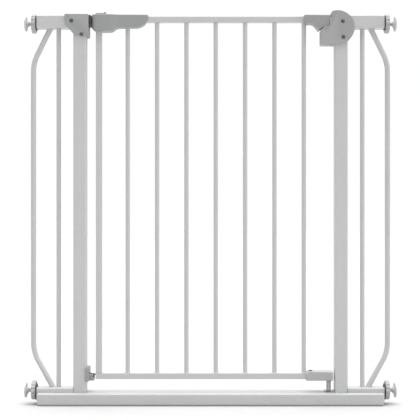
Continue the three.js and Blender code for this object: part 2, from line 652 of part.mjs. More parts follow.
function catchPlate() {
  const { left, right, halfDepth: d, thick, lugTop, lugHalf, lugThick } = CATCH;
  const floor = BASE.height + 0.2;
  const lugRight = right - 1.4;
  return box(left, right, -d, d, floor, floor + thick)
    .add(box(left, left + lugThick, -lugHalf, lugHalf, floor, lugTop))
    .add(box(lugRight - lugThick, lugRight, -lugHalf, lugHalf, floor, lugTop))
    .subtract(rod('z', PIN.radius + 0.7, floor - 1, lugTop, PIN.x, 0, 0));
}

function buildLowerHardware() {
  add('lower_hinge_bracket', lowerHingeBracket(), housingPlastic);
  add('lower_hinge_pin', lowerHingePin(), zincSteel);
  add('lower_latch_bracket', lowerLatchBracket(), nutPlastic);
  add('lower_pin', lowerPin(), powderCoat);
  add('lower_pin_bush', pinBush(), darkPlastic);
  add('catch_plate', catchPlate(), zincSteel);
}

// ---------------------------------------------------------------- door
// The left end is open at the end and at the rear, so that the hinge tongue fits in while the door turns.
function bottomRail() {
  const half = RAIL.side / 2;
  const inner = half - RAIL.wall;
  const end = HINGE_X - half;
  const pinHole = rod('z', LOWER_HINGE.eyeBore, BOTTOM_RAIL_Z, BOTTOM_RAIL_Z + half + 1, HINGE_X, 0, 0);
  const rearWindow = box(end - 1, HINGE_X + LOWER_HINGE.tongueHalf + 0.7, 0, half + 1,
    BOTTOM_RAIL_Z - inner, BOTTOM_RAIL_Z + inner);
  return boxTube('x', end, RAIL_ENDS.bottomRight, 0, BOTTOM_RAIL_Z, RAIL.side, RAIL.wall)
    .subtract(pinHole).subtract(rearWindow);
}

function buildDoor() {
  const half = RAIL.side / 2;
  const barBottom = BOTTOM_RAIL_Z + half + GAP;
  const topRail = boxTube('x', RAIL_ENDS.topLeft, RAIL_ENDS.topRight, 0, TOP_RAIL_Z, RAIL.side, RAIL.wall);
  add('door_top_rail', topRail, powderCoat);
  add('door_bottom_rail', bottomRail(), powderCoat);
  add('door_upright', boxTube('z', barBottom, BULGE_FLOOR - 0.4, HINGE_X, 0, RAIL.side, RAIL.wall), powderCoat);
  for (let i = 0; i < BAR.count; i += 1) {
    const x = BAR.first + i * BAR.pitch;
    add(`door_bar_${i + 1}`, uprightBar(x, barBottom, TOP_RAIL_Z - half - GAP, BAR.radius), powderCoat);
  }
}

buildFrame();
buildSpindles();
buildUpperHinge();
buildLatch();
buildLowerHardware();
buildDoor();

export default gate;
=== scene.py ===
"""Looks of a pressure-fit stair safety gate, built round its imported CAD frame.

Metres, +Z up, X along the gate and the front facing -Y, as in the frame.
"""

import json
import math

import bmesh
import bpy
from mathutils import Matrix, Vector


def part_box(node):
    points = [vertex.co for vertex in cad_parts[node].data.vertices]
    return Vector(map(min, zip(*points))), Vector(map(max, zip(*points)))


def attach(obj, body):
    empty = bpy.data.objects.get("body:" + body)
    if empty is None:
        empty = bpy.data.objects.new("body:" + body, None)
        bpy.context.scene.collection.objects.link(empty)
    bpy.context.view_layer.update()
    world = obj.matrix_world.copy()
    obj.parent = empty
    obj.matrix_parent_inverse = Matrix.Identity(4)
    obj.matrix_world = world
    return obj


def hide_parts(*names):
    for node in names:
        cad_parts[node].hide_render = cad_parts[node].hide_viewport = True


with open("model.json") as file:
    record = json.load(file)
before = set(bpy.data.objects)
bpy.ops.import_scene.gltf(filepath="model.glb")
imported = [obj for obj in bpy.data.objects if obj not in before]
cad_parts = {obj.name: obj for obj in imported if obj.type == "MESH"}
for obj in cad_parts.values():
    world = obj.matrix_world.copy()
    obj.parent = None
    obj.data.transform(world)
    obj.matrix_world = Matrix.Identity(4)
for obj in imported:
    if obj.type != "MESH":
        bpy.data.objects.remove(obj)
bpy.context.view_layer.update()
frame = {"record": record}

MM = 0.001
CLEARANCE = 0.3 * MM  # between pieces that touch, as in the CAD
RECORD = frame["record"]
BODY_OF = {node: body for body, nodes in RECORD["behaviour"]["bodies"].items() for node in nodes}
SLOT_OF = {part["node"]: part["material_slot"] for part in RECORD["subparts"]}
SIDES = ((-1, "left"), (1, "right"))
CORNERS = tuple(f"{level}_{side}" for level in ("top", "bottom") for side in ("left", "right"))


# ---------------------------------------------------------------- camera and light
SENSOR_WIDTH = 36
LENS_LENGTH = 87
CAMERA_PLACE = (-0.001, -2.0, 0.382)

BACKDROP_GLOW = 1.03
SIDE_GLOW = 0.44
FRONT_GLOW = 0.20
CEILING_GLOW = 0.9
# The world's brightness is the sum of these ramps: the axis of the direction looked in, the two values of it
# between which the ramp runs, and the glow at each of them.
GLOW_RAMPS = (
    ("Y", 0.92, 0.955, SIDE_GLOW, BACKDROP_GLOW),
    ("Y", -0.9, -0.1, FRONT_GLOW - SIDE_GLOW, 0),
    ("Z", 0.35, 0.8, 0, CEILING_GLOW),
)
FLOOR_HALF_WIDTH = 14
FLOOR_GREY = 0.56


def make_camera():
    """Level, at half the gate's height and two metres in front of it."""
    data = bpy.data.cameras.new("camera")
    data.sensor_width = SENSOR_WIDTH
    data.lens = LENS_LENGTH
    camera = bpy.data.objects.new("camera", data)
    camera.location = CAMERA_PLACE
    camera.rotation_euler = (math.radians(90), 0, 0)
    bpy.context.scene.collection.objects.link(camera)
    bpy.context.scene.camera = camera


def make_world():
    """A white backdrop straight behind, dim side walls, a soft glow in front and a bright ceiling."""
    world = bpy.data.worlds.new("studio")
    world.use_nodes = True
    nodes = world.node_tree.nodes
    links = world.node_tree.links
    split = nodes.new("ShaderNodeSeparateXYZ")
    links.new(nodes.new("ShaderNodeTexCoord").outputs["Generated"], split.inputs["Vector"])
    total = None
    for axis, start, end, low, high in GLOW_RAMPS:
        ramp = nodes.new("ShaderNodeMapRange")
        ramp.interpolation_type = "SMOOTHSTEP"
        ramp.inputs["From Min"].default_value = start
        ramp.inputs["From Max"].default_value = end
        ramp.inputs["To Min"].default_value = low
        ramp.inputs["To Max"].default_value = high
        links.new(split.outputs[axis], ramp.inputs["Value"])
        if total is None:
            total = ramp.outputs["Result"]
            continue
        add = nodes.new("ShaderNodeMath")
        links.new(total, add.inputs[0])
        links.new(ramp.outputs["Result"], add.inputs[1])
        total = add.outputs["Value"]
    nodes["Background"].inputs["Color"].default_value = (1, 1, 1, 1)
    links.new(total, nodes["Background"].inputs["Strength"])
    bpy.context.scene.world = world


def sun_light(name, towards, spread, power):
    """A soft far light. towards is the way from the gate to the light."""
    data = bpy.data.lights.new(name, "SUN")
    data.angle = math.radians(spread)
    data.energy = power
    light = bpy.data.objects.new(name, data)
    light.rotation_euler = Vector(towards).to_track_quat("Z", "Y").to_euler()
    bpy.context.scene.collection.objects.link(light)


def make_stage():
    """The studio: world, lights and floor."""
    make_world()
    bpy.context.scene.view_settings.view_transform = "Standard"
    sun_light("overhead", towards=(0.0, 0.0, 1.0), spread=60, power=2.9)
    sun_light("key", towards=(0.96, -0.26, 0.2), spread=20, power=0.5)
    bm = bmesh.new()
    bmesh.ops.create_grid(bm, x_segments=1, y_segments=1, size=FLOOR_HALF_WIDTH)
    floor = object_from(bm, "floor")
    floor.data.materials.append(plain_floor())


# ---------------------------------------------------------------- materials
MOTTLE = 0.04  # how far a colour drifts, as a share of it
DRIFT_SPACING = 60 * MM
GLOSS_SPACING = 9 * MM
GLOSS_SWING = 0.05
RELIEF_STRENGTH = 0.6
HIGHLIGHT_FROM, HIGHLIGHT_TO = 0.53, 0.62  # pointiness at which the painted edge highlight starts, and at which it is full


def plain_floor():
    """A matt grey floor."""
    material = bpy.data.materials.new("floor")
    material.use_nodes = True
    shader = material.node_tree.nodes["Principled BSDF"]
    shader.inputs["Base Color"].default_value = (FLOOR_GREY, FLOOR_GREY, FLOOR_GREY, 1)
    shader.inputs["Roughness"].default_value = 0.9
    shader.inputs["Specular IOR Level"].default_value = 0.1
    return material


def surface(name, colour, roughness, grain, bump, metallic=0.0, edge_highlight=0.0):
    """A finish with fine grain, slow colour drift, uneven gloss and a painted highlight on sharp convex
    edges.

    grain is the grain's spacing and bump its depth, in metres. The last argument is how much lighter the
    painted highlight makes a sharp convex edge.
    """
    material = bpy.data.materials.new(name)
    material.use_nodes = True
    nodes = material.node_tree.nodes
    links = material.node_tree.links
    shader = nodes["Principled BSDF"]
    shader.inputs["Metallic"].default_value = metallic
    place = nodes.new("ShaderNodeTexCoord")

    def noise(spacing, detail):
        node = nodes.new("ShaderNodeTexNoise")
        node.inputs["Scale"].default_value = 1 / spacing
        node.inputs["Detail"].default_value = detail
        links.new(place.outputs["Object"], node.inputs["Vector"])
        return node.outputs["Fac"]

    drift = nodes.new("ShaderNodeMix")
    drift.data_type = "RGBA"
    drift.inputs["A"].default_value = (*(c * (1 - MOTTLE) for c in colour), 1)
    drift.inputs["B"].default_value = (*(min(c * (1 + MOTTLE), 1) for c in colour), 1)
    links.new(noise(DRIFT_SPACING, 3), drift.inputs["Factor"])
    tint = drift.outputs["Result"]
    # painted highlight: sharp convex edges get a lighter colour, standing in for light caught on them
    if edge_highlight:
        edge = nodes.new("ShaderNodeMapRange")
        edge.inputs["From Min"].default_value = HIGHLIGHT_FROM
        edge.inputs["From Max"].default_value = HIGHLIGHT_TO
        links.new(nodes.new("ShaderNodeNewGeometry").outputs["Pointiness"], edge.inputs["Value"])
        highlighted = nodes.new("ShaderNodeMix")
        highlighted.data_type = "RGBA"
        links.new(edge.outputs["Result"], highlighted.inputs["Factor"])
        links.new(tint, highlighted.inputs["A"])
        highlighted.inputs["B"].default_value = (*(min(c * (1 + edge_highlight), 1) for c in colour), 1)
        tint = highlighted.outputs["Result"]
    links.new(tint, shader.inputs["Base Color"])

    gloss = nodes.new("ShaderNodeMapRange")
    gloss.inputs["To Min"].default_value = roughness - GLOSS_SWING
    gloss.inputs["To Max"].default_value = roughness + GLOSS_SWING
    links.new(noise(GLOSS_SPACING, 4), gloss.inputs["Value"])
    links.new(gloss.outputs["Result"], shader.inputs["Roughness"])

    relief = nodes.new("ShaderNodeBump")
    relief.inputs["Distance"].default_value = bump
    relief.inputs["Strength"].default_value = RELIEF_STRENGTH
    links.new(noise(grain, 2), relief.inputs["Height"])
    links.new(relief.outputs["Normal"], shader.inputs["Normal"])
    return material


# Where a look lightens its edges, that is a painted highlight on sharp convex edges.
LOOKS = {
    "powder_coat": dict(
        colour=(0.56, 0.56, 0.565), roughness=0.42, grain=1.1 * MM, bump=0.03 * MM, edge_highlight=0.08),
    "housing_plastic": dict(
        colour=(0.335, 0.337, 0.342), roughness=0.52, grain=0.45 * MM, bump=0.03 * MM, edge_highlight=0.18),
    "nut_plastic": dict(
        colour=(0.43, 0.43, 0.435), roughness=0.5, grain=0.5 * MM, bump=0.02 * MM, edge_highlight=0.15),
    # near black: the own colour of the dark plastic parts, and also painted shade on the upper hinge arm,
    # darkened for the shade it sits in between casing and cover
    "dark_plastic": dict(
        colour=(0.075, 0.075, 0.08), roughness=0.6, grain=0.5 * MM, bump=0.03 * MM, edge_highlight=0.3),
    "black_screw": dict(
        colour=(0.13, 0.13, 0.135), roughness=0.38, grain=0.3 * MM, bump=0.01 * MM, edge_highlight=0.3),
    "zinc_steel": dict(
        colour=(0.6, 0.61, 0.63), roughness=0.34, grain=0.3 * MM, bump=0.01 * MM, metallic=0.9),
    "pad_rubber": dict(
        colour=(0.66, 0.66, 0.655), roughness=0.55, grain=0.8 * MM, bump=0.02 * MM),
}
FINISH = {slot: surface(slot, **look) for slot, look in LOOKS.items()}


# ---------------------------------------------------------------- mesh helpers
SHARP = 32  # degrees between faces past which an edge is drawn sharp
SHELL_SPLIT = 0.15 * MM  # half of the gap between a moulding's front and rear halves
TUBE_LIP = 0.4 * MM
RIM_SEGMENTS = 4


def middle(node):
    """The middle of a CAD node's box."""
    low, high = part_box(node)
    return (low + high) / 2


def object_from(bm, name, sharp=SHARP):
    """A new object that holds bm's mesh, smooth-shaded up to the sharp angle."""
    bmesh.ops.recalc_face_normals(bm, faces=bm.faces)
    mesh = bpy.data.meshes.new(name)
    bm.to_mesh(mesh)
    bm.free()
    obj = bpy.data.objects.new(name, mesh)
    bpy.context.scene.collection.objects.link(obj)
    shade(obj, sharp)
    return obj


def shade(obj, sharp=SHARP):
    mesh = obj.data
    mesh.polygons.foreach_set("use_smooth", [True] * len(mesh.polygons))
    mesh.set_sharp_from_angle(angle=math.radians(sharp))


def applied(obj):
    """obj with its modifiers worked in to its mesh."""
    graph = bpy.context.evaluated_depsgraph_get()
    mesh = bpy.data.meshes.new_from_object(obj.evaluated_get(graph))
    obj.modifiers.clear()
    obj.data = mesh


def combine(obj, other, operation):
    """Does a boolean on obj with other, and deletes other."""
    modifier = obj.modifiers.new(operation, "BOOLEAN")
    modifier.operation = operation
    modifier.solver = "MANIFOLD"
    modifier.object = other
    applied(obj)
    bpy.data.objects.remove(other)


def cut(obj, *cutters):
    """Takes the cutters' spaces away from obj."""
    for cutter in cutters:
        combine(obj, cutter, "DIFFERENCE")
    return obj


def join(obj, *others):
    """Joins the others into obj, so that it is one closed piece."""
    for other in others:
        combine(obj, other, "UNION")


def loft(name, rings, looped=False, sharp=SHARP):
    """A closed skin over rings with equal numbers of points. looped joins the last ring to the first."""
    bm = bmesh.new()
    rows = [[bm.verts.new(point) for point in ring] for ring in rings]
    pairs = list(zip(rows, rows[1:]))
    if looped:
        pairs.append((rows[-1], rows[0]))
    count = len(rows[0])
    for a, b in pairs:
        for i in range(count):
            j = (i + 1) % count
            bm.faces.new((a[i], a[j], b[j], b[i]))
    if not looped:
        bm.faces.new(list(reversed(rows[0])))
        bm.faces.new(rows[-1])
    return object_from(bm, name, sharp)


def on_axis(axis, centre, u, v, along):
    """The point at u, v across an axis and along it, centred on the line through centre."""
    x, y, z = centre
    return {
        "x": (along, y + u, z + v),
        "y": (x + u, along, z + v),
        "z": (x + u, y + v, along),
    }[axis]


def revolve(name, profile, axis="z", centre=(0, 0, 0), sides=48, looped=False, sharp=SHARP):
    """Turns (radius, distance along the axis) pairs round an axis, with flat ends or looped."""
    angles = [2 * math.pi * i / sides for i in range(sides)]
    rings = [
        [on_axis(axis, centre, r * math.cos(a), r * math.sin(a), h) for a in angles]
        for r, h in profile
    ]
    return loft(name, rings, looped, sharp)


def round_edges(bm, edges, radius, segments):
    """Rounds edges of a mesh."""
    bmesh.ops.bevel(
        bm, geom=edges, offset=radius, segments=segments, profile=0.5, affect="EDGES", clamp_overlap=True
    )


def rod(name, radius, start, end, axis="z", centre=(0, 0, 0), sides=48, edge=0.0):
    """A round bar along an axis. edge is the size of its chamfers."""
    profile = [(radius, start), (radius, end)]
    if edge:
        profile = [
            (radius - edge, start), (radius, start + edge), (radius, end - edge), (radius - edge, end),
        ]
    return revolve(name, profile, axis, centre, sides)


def block(name, low, high, edge=0.0, segments=3):
    """A box from its low corner to its high corner. edge is the radius of its rounded edges."""
    bm = bmesh.new()
    bmesh.ops.create_cube(bm, size=1)
    low, high = Vector(low), Vector(high)
    for vert in bm.verts:
        vert.co = Vector(l + (h - l) * (c + 0.5) for l, h, c in zip(low, high, vert.co))
    if edge:
        round_edges(bm, bm.edges, edge, segments)
    return object_from(bm, name)


def widened(node, gap=CLEARANCE):
    """The corners of a CAD node's box, moved out by a gap."""
    low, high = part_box(node)
    grow = Vector((gap, gap, gap))
    return low - grow, high + grow


def rounded_section(half_a, half_b, corner, inset=0.0, steps=5):
    """Points round a rectangle with round corners, all moved in by inset."""
    half_a -= inset
    half_b -= inset
    corner = max(min(corner - inset, half_a, half_b), 1e-5)
    points = []
    for quarter, (sa, sb) in enumerate(((1, 1), (-1, 1), (-1, -1), (1, -1))):
        for i in range(steps + 1):
            angle = math.pi / 2 * (quarter + i / steps)
            points.append((
                sa * (half_a - corner) + corner * math.cos(angle),
                sb * (half_b - corner) + corner * math.sin(angle),
            ))
    return points


def box_tube(name, axis, start, end, centre, half, corner, wall):
    """A square tube with round corners and eased ends."""
    outer = rounded_section(half, half, corner)
    eased = rounded_section(half, half, corner, TUBE_LIP)
    inner = rounded_section(half - wall, half - wall, corner - wall / 2)
    sections = [
        (eased, start), (outer, start + TUBE_LIP), (outer, end - TUBE_LIP), (eased, end),
        (inner, end), (inner, start),
    ]
    rings = [[on_axis(axis, centre, u, v, along) for u, v in section] for section, along in sections]
    return loft(name, rings, looped=True)


class Outline:
    """A closed outline in the X-Z plane, drawn as lines, curves and arcs."""

    def __init__(self, x, z):
        self.points = [(x, z)]

    def line(self, x, z):
        self.points.append((x, z))
        return self

    def quad(self, cx, cz, x, z, steps=6):
        x0, z0 = self.points[-1]
        for i in range(1, steps + 1):
            t = i / steps
            self.points.append(tuple(
                (1 - t) ** 2 * a + 2 * t * (1 - t) * c + t * t * b
                for a, c, b in ((x0, cx, x), (z0, cz, z))
            ))
        return self

    def cubic(self, ax, az, bx, bz, x, z, steps=18):
        x0, z0 = self.points[-1]
        for i in range(1, steps + 1):
            t = i / steps
            self.points.append(tuple(
                (1 - t) ** 3 * p + 3 * t * (1 - t) ** 2 * a + 3 * t * t * (1 - t) * b + t ** 3 * q
                for p, a, b, q in ((x0, ax, bx, x), (z0, az, bz, z))
            ))
        return self

    def arc(self, cx, cz, radius, start, end, steps=48):
        for i in range(steps + 1):
            angle = start + (end - start) * i / steps
            self.points.append((cx + radius * math.cos(angle), cz + radius * math.sin(angle)))
        return self

    def prism(self, name, y0, y1, edge=0.0):
        """The outline given depth, with its front and rear rims rounded."""
        bm = bmesh.new()
        points = [p for i, p in enumerate(self.points) if math.dist(p, self.points[i - 1]) > 1e-6]
        front = [bm.verts.new((x, y0, z)) for x, z in points]
        rear = [bm.verts.new((x, y1, z)) for x, z in points]
        faces = [bm.faces.new(front), bm.faces.new(list(reversed(rear)))]
        for i in range(len(points)):
            bm.faces.new((front[i], front[i - 1], rear[i - 1], rear[i]))
        if edge:
            rims = list({e for face in faces for e in face.edges})
            round_edges(bm, rims, edge, RIM_SEGMENTS)
        return object_from(bm, name)


def stand_for(obj, node, weighted=True):
    """obj takes a CAD node's place: its body, its slot and its finish."""
    if weighted:
        modifier = obj.modifiers.new("normals", "WEIGHTED_NORMAL")
        modifier.keep_sharp = True
    obj.name = f"fine_{node}"
    obj.data.materials.clear()
    obj.data.materials.append(FINISH[SLOT_OF[node]])
    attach(obj, BODY_OF[node])
    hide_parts(node)


def add_trim(obj, body, slot):
    """A small piece that the CAD doesn't hold."""
    obj.data.materials.clear()
    obj.data.materials.append(FINISH[slot])
    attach(obj, body)


def stand_reshaped(obj, node):
    """Stands an object for a node after cuts and joins, which lose its shading."""
    shade(obj)
    stand_for(obj, node)


def split_shells(obj, front_node, rear_node):
    """Cuts a moulding into its front and rear halves along the gate's middle plane."""
    reach = 1.0
    rear = obj.copy()
    rear.data = obj.data.copy()
    bpy.context.scene.collection.objects.link(rear)
    combine(obj, block("front_room", (-reach, -reach, 0), (reach, -SHELL_SPLIT, reach)), "INTERSECT")
    combine(rear, block("rear_room", (-reach, SHELL_SPLIT, 0), (reach, reach, reach)), "INTERSECT")
    for half, node in ((obj, front_node), (rear, rear_node)):
        stand_reshaped(half, node)


# ---------------------------------------------------------------- tubes and bars
TUBE_CORNER = 2.6 * MM
TUBE_WALL = 1.5 * MM
RAIL_CORNER = 1.3 * MM
RAIL_WALL = 1.2 * MM
BAR_WALL = 1.0 * MM
BAR_SIDES = 32
WELD = 1.0 * MM
OUTER_BAR_BEND = 76 * MM
OUTER_BAR_TOP_CORNER = 0.672  # height at which the bar's straight lines would meet
OUTER_BAR_BOTTOM_CORNER = 0.1027
OUTER_BAR_TOP_X = 0.3158
OUTER_BAR_BOTTOM_X = 0.3106
BASE_TOP_RADIUS = 3 * MM
BASE_BOTTOM_RADIUS = 5 * MM
BASE_END_RADIUS = 2 * MM
PIN_HOLE = 5.2 * MM  # radius of the hole that the lower pin drops into
HINGE_EYE_BORE = 3.3 * MM
TONGUE_ROOM = 4.1 * MM  # half width of the window that clears the lower hinge's tongue
PAST = 1 * MM  # how far a cutter reaches past the face that it opens, once or twice over


def tube_for(node, axis, corner, wall):
    """A square tube over the length of a CAD node."""
    low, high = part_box(node)
    centre = middle(node)
    index = "xyz".index(axis)
    half = (high.y - low.y) / 2
    stand_for(box_tube(node, axis, low[index], high[index], centre, half, corner, wall), node)


def weld_fillet(rise):
    """How far a weld flares out, and how far it is from the bar's end, in steps along its curve."""
    steps = 4
    return [
        (WELD * (1 - math.sin(a)), WELD * rise * (1 - math.cos(a)))
        for a in (math.pi / 2 * i / steps for i in range(steps + 1))
    ]


def weld_profile(radius, start, end, wall):
    """A tube's profile, spreading into a weld fillet at each end."""
    fillet = [(radius + flare, away) for flare, away in weld_fillet(1.2)]
    outer = [(r, start + h) for r, h in fillet] + [(r, end - h) for r, h in reversed(fillet)]
    return outer + [(radius - wall, end), (radius - wall, start)]


def round_bar_for(node):
    """An upright round bar, open through its middle, with a weld at each end."""
    low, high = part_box(node)
    profile = weld_profile((high.y - low.y) / 2, low.z, high.z, BAR_WALL)
    stand_for(revolve(node, profile, "z", middle(node), BAR_SIDES, looped=True), node)


def bend_round(before, corner, after, radius):
    """Points and directions along the arc that rounds a corner of a path."""
    steps = 8
    into = (corner - before).normalized()
    away = (after - corner).normalized()
    turn = into.angle(away)
    tangent = radius * math.tan(turn / 2)
    hub = corner + (away - into).normalized() * (radius / math.cos(turn / 2))
    first = (corner - into * tangent - hub).normalized()
    last = (corner + away * tangent - hub).normalized()
    arc = []
    for i in range(steps + 1):
        t = i / steps
        spoke = math.sin(turn * (1 - t)) * first + math.sin(turn * t) * last
        direction = (into * math.sin(turn * (1 - t)) + away * math.sin(turn * t)).normalized()
        arc.append((hub + spoke.normalized() * radius, direction))
    return arc


def bent_bar_for(node, side):
    """Straight down the outside, leaning in to the stubs, with a true bend at each corner."""
    low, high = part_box(node)
    radius = (high.y - low.y) / 2
    outer_x = max(abs(low.x), abs(high.x)) - radius
    top_corner = Vector((side * outer_x, 0, OUTER_BAR_TOP_CORNER))
    bottom_corner = Vector((side * outer_x, 0, OUTER_BAR_BOTTOM_CORNER))
    top_end = Vector((side * OUTER_BAR_TOP_X, 0, high.z))
    bottom_end = Vector((side * OUTER_BAR_BOTTOM_X, 0, low.z))
    centreline = bend_round(top_end, top_corner, bottom_corner, OUTER_BAR_BEND)
    centreline += bend_round(top_corner, bottom_corner, bottom_end, OUTER_BAR_BEND)
    across = Vector((0, 1, 0))

    def ring(point, direction, r, plane=None):
        """A ring round the bar, square to it, or slanted to lie at the height of plane."""
        up = direction.cross(across)
        points = []
        for i in range(BAR_SIDES):
            angle = 2 * math.pi * i / BAR_SIDES
            p = point + r * (math.cos(angle) * across + math.sin(angle) * up)
            if plane is not None:
                p = p + direction * ((plane - p.z) / direction.z)
            points.append(p)
        return points

    top_lean = (top_corner - top_end).normalized()
    bottom_lean = (bottom_end - bottom_corner).normalized()
    fillet = weld_fillet(1.4)
    outer = [ring(top_end, top_lean, radius + flare, high.z - drop) for flare, drop in fillet]
    outer += [ring(p, d, radius) for p, d in centreline]
    outer += [
        ring(bottom_end, bottom_lean, radius + flare, low.z + rise) for flare, rise in reversed(fillet)
    ]
    inner_radius = radius - BAR_WALL
    inner = [ring(bottom_end, bottom_lean, inner_radius, low.z)]
    inner += [ring(p, d, inner_radius) for p, d in reversed(centreline)]
    inner += [ring(top_end, top_lean, inner_radius, high.z)]
    stand_for(loft(node, outer + inner, looped=True), node)


def make_base_rail():
    """A low box rail with a rounder bottom edge, seats for posts and stubs, and the pin's hole."""
    low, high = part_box("base_rail")
    top_hub = high.z - BASE_TOP_RADIUS
    bottom_hub = low.z + BASE_BOTTOM_RADIUS

    def section(x, inset):
        points = []
        for sy, hub_z, radius, first in (
            (1, top_hub, BASE_TOP_RADIUS, 0),
            (-1, top_hub, BASE_TOP_RADIUS, 90),
            (-1, bottom_hub, BASE_BOTTOM_RADIUS, 180),
            (1, bottom_hub, BASE_BOTTOM_RADIUS, 270),
        ):
            r = radius - inset
            hub_y = sy * (high.y - radius)
            for degrees in range(first, first + 91, 15):
                angle = math.radians(degrees)
                points.append((x, hub_y + r * math.cos(angle), hub_z + r * math.sin(angle)))
        return points

    left = []
    steps = 5
    for i in range(steps + 1):
        a = math.pi / 2 * i / steps
        left.append(section(
            low.x + BASE_END_RADIUS * (1 - math.cos(a)), BASE_END_RADIUS * (1 - math.sin(a))
        ))
    right = [[(-x, y, z) for x, y, z in ring] for ring in reversed(left)]
    rail = loft("base_rail", left + right)

    above = 40 * MM
    cutters = [rod("pin_hole", PIN_HOLE, 2 * MM, above, "z", middle("lower_pin"))]
    for side, word in SIDES:
        post_low, post_high = widened(f"post_{word}")
        seat_z = widened(f"stub_bottom_{word}")[0].z
        left, right = sorted((side * min(abs(post_low.x), abs(post_high.x)), side * (high.x + 2 * PAST)))
        cutters.append(block(
            f"seat_{word}", (left, post_low.y, seat_z), (right, post_high.y, above),
        ))
    cut(rail, *cutters)
    stand_reshaped(rail, "base_rail")


def make_bottom_rail():
    """A rail whose hinge end is open at the rear, so that the hinge tongue clears it as the door turns."""
    low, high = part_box("door_bottom_rail")
    centre = middle("door_bottom_rail")
    half = (high.y - low.y) / 2
    axis = hinge_axis()
    inner = half - RAIL_WALL
    rail = box_tube("rail", "x", low.x, high.x, centre, half, RAIL_CORNER, RAIL_WALL)
    cut(
        rail,
        block("window", (low.x - PAST, 0, centre.z - inner),
              (axis.x + TONGUE_ROOM, high.y + PAST, centre.z + inner)),
        rod("pin_hole", HINGE_EYE_BORE, centre.z, high.z + PAST, "z", axis),
    )
    stand_reshaped(rail, "door_bottom_rail")


def make_tubes_and_bars():
    make_base_rail()
    for side, word in SIDES:
        tube_for(f"post_{word}", "z", TUBE_CORNER, TUBE_WALL)
        tube_for(f"stub_top_{word}", "x", TUBE_CORNER, TUBE_WALL)
        tube_for(f"stub_bottom_{word}", "x", TUBE_CORNER, TUBE_WALL)
        round_bar_for(f"side_bar_{word}")
        bent_bar_for(f"outer_bar_{word}", side)
    tube_for("door_top_rail", "x", RAIL_CORNER, RAIL_WALL)
    tube_for("door_upright", "z", RAIL_CORNER, RAIL_WALL)
    make_bottom_rail()
    for i in range(1, 8):
        round_bar_for(f"door_bar_{i}")


# ---------------------------------------------------------------- wall spindles
THREAD_PITCH = 1.25 * MM
THREAD_DEPTH = 0.65 * MM
THREAD_SHOWN = 26 * MM  # length from the tip over which the thread is modelled
SPINDLE_BORE = 4.4 * MM
NUT_LOBES = 14
NUT_LOBE_DEPTH = 1.5 * MM
NUT_EDGE = 1.0 * MM
NUT_HUB = 7.5 * MM
NUT_DISH = 0.9 * MM
PLUG_PLATE = 10.9 * MM  # half width
PLUG_SPIGOT = 10.7 * MM  # half width
PLUG_DISC = 13 * MM


def make_nut(node, side):
    """A hand wheel with finger lobes, a dished outer face and a raised hub."""
    low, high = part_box(node)
    centre = middle(node)
    radius = (high.z - low.z) / 2
    count = NUT_LOBES * 10

    def lobed(r, along, share):
        """A ring with share of the lobes' depth."""
        points = []
        for i in range(count):
            angle = 2 * math.pi * i / count
            valley = (0.5 - 0.5 * math.cos(NUT_LOBES * angle)) ** 3
            reach = r - NUT_LOBE_DEPTH * valley * share
            points.append(on_axis("x", centre, reach * math.cos(angle), reach * math.sin(angle), along))
        return points

    inner_x, outer_x = sorted((low.x, high.x), key=abs)
    rings = [
        lobed(SPINDLE_BORE, inner_x, 0),
        lobed(radius - 3.4 * MM, inner_x, 0),
        lobed(radius - NUT_EDGE, inner_x, 1),
        lobed(radius - 0.3 * MM, inner_x + side * 0.35 * MM, 1),
        lobed(radius, inner_x + side * NUT_EDGE, 1),
        lobed(radius, outer_x - side * NUT_EDGE, 1),
        lobed(radius - 0.3 * MM, outer_x - side * 0.35 * MM, 1),
        lobed(radius - NUT_EDGE, outer_x, 1),
        lobed(radius - 3.4 * MM, outer_x, 0),
        lobed(radius - 4.2 * MM, outer_x - side * NUT_DISH, 0),
        lobed(NUT_HUB + 0.6 * MM, outer_x - side * NUT_DISH, 0),
        lobed(NUT_HUB, outer_x, 0),
        lobed(SPINDLE_BORE + 0.4 * MM, outer_x, 0),
        lobed(SPINDLE_BORE, outer_x - side * 0.4 * MM, 0),
    ]
    stand_for(loft(node, rings, looped=True, sharp=40), node)


def make_rod(node, side):
    """An M8 spindle: a true helical thread where it shows, plain inside the tube."""
    low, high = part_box(node)
    centre = middle(node)
    crest = (high.z - low.z) / 2
    sides = 28
    tip = max(abs(low.x), abs(high.x))
    tail = min(abs(low.x), abs(high.x))
    thread_start = tip - THREAD_SHOWN
    step = THREAD_PITCH / 8
    rings = []

    def ring(along, radius_at):
        points = []
        for i in range(sides):
            angle = 2 * math.pi * i / sides
            r = radius_at(angle)
            points.append(on_axis("x", centre, r * math.cos(angle), r * math.sin(angle), side * along))
        return points

    plain = crest - THREAD_DEPTH / 2
    rings.append(ring(tail, lambda a: plain - 0.4 * MM))
    rings.append(ring(tail + 0.4 * MM, lambda a: plain))
    rings.append(ring(thread_start - step, lambda a: plain))
    turns = int(round((tip - 0.6 * MM - thread_start) / step))
    for k in range(turns + 1):
        along = thread_start + k * step

        def threaded(angle, along=along):
            phase = (along / THREAD_PITCH + side * angle / (2 * math.pi)) % 1.0
            height = min(1.0, max(0.0, 1.35 * (1 - abs(2 * phase - 1)) - 0.1))
            return crest - THREAD_DEPTH + THREAD_DEPTH * height

        rings.append(ring(along, threaded))
    rings.append(ring(tip, lambda a: crest - THREAD_DEPTH - 0.2 * MM))
    stand_for(loft(node, rings, sharp=60), node, weighted=False)


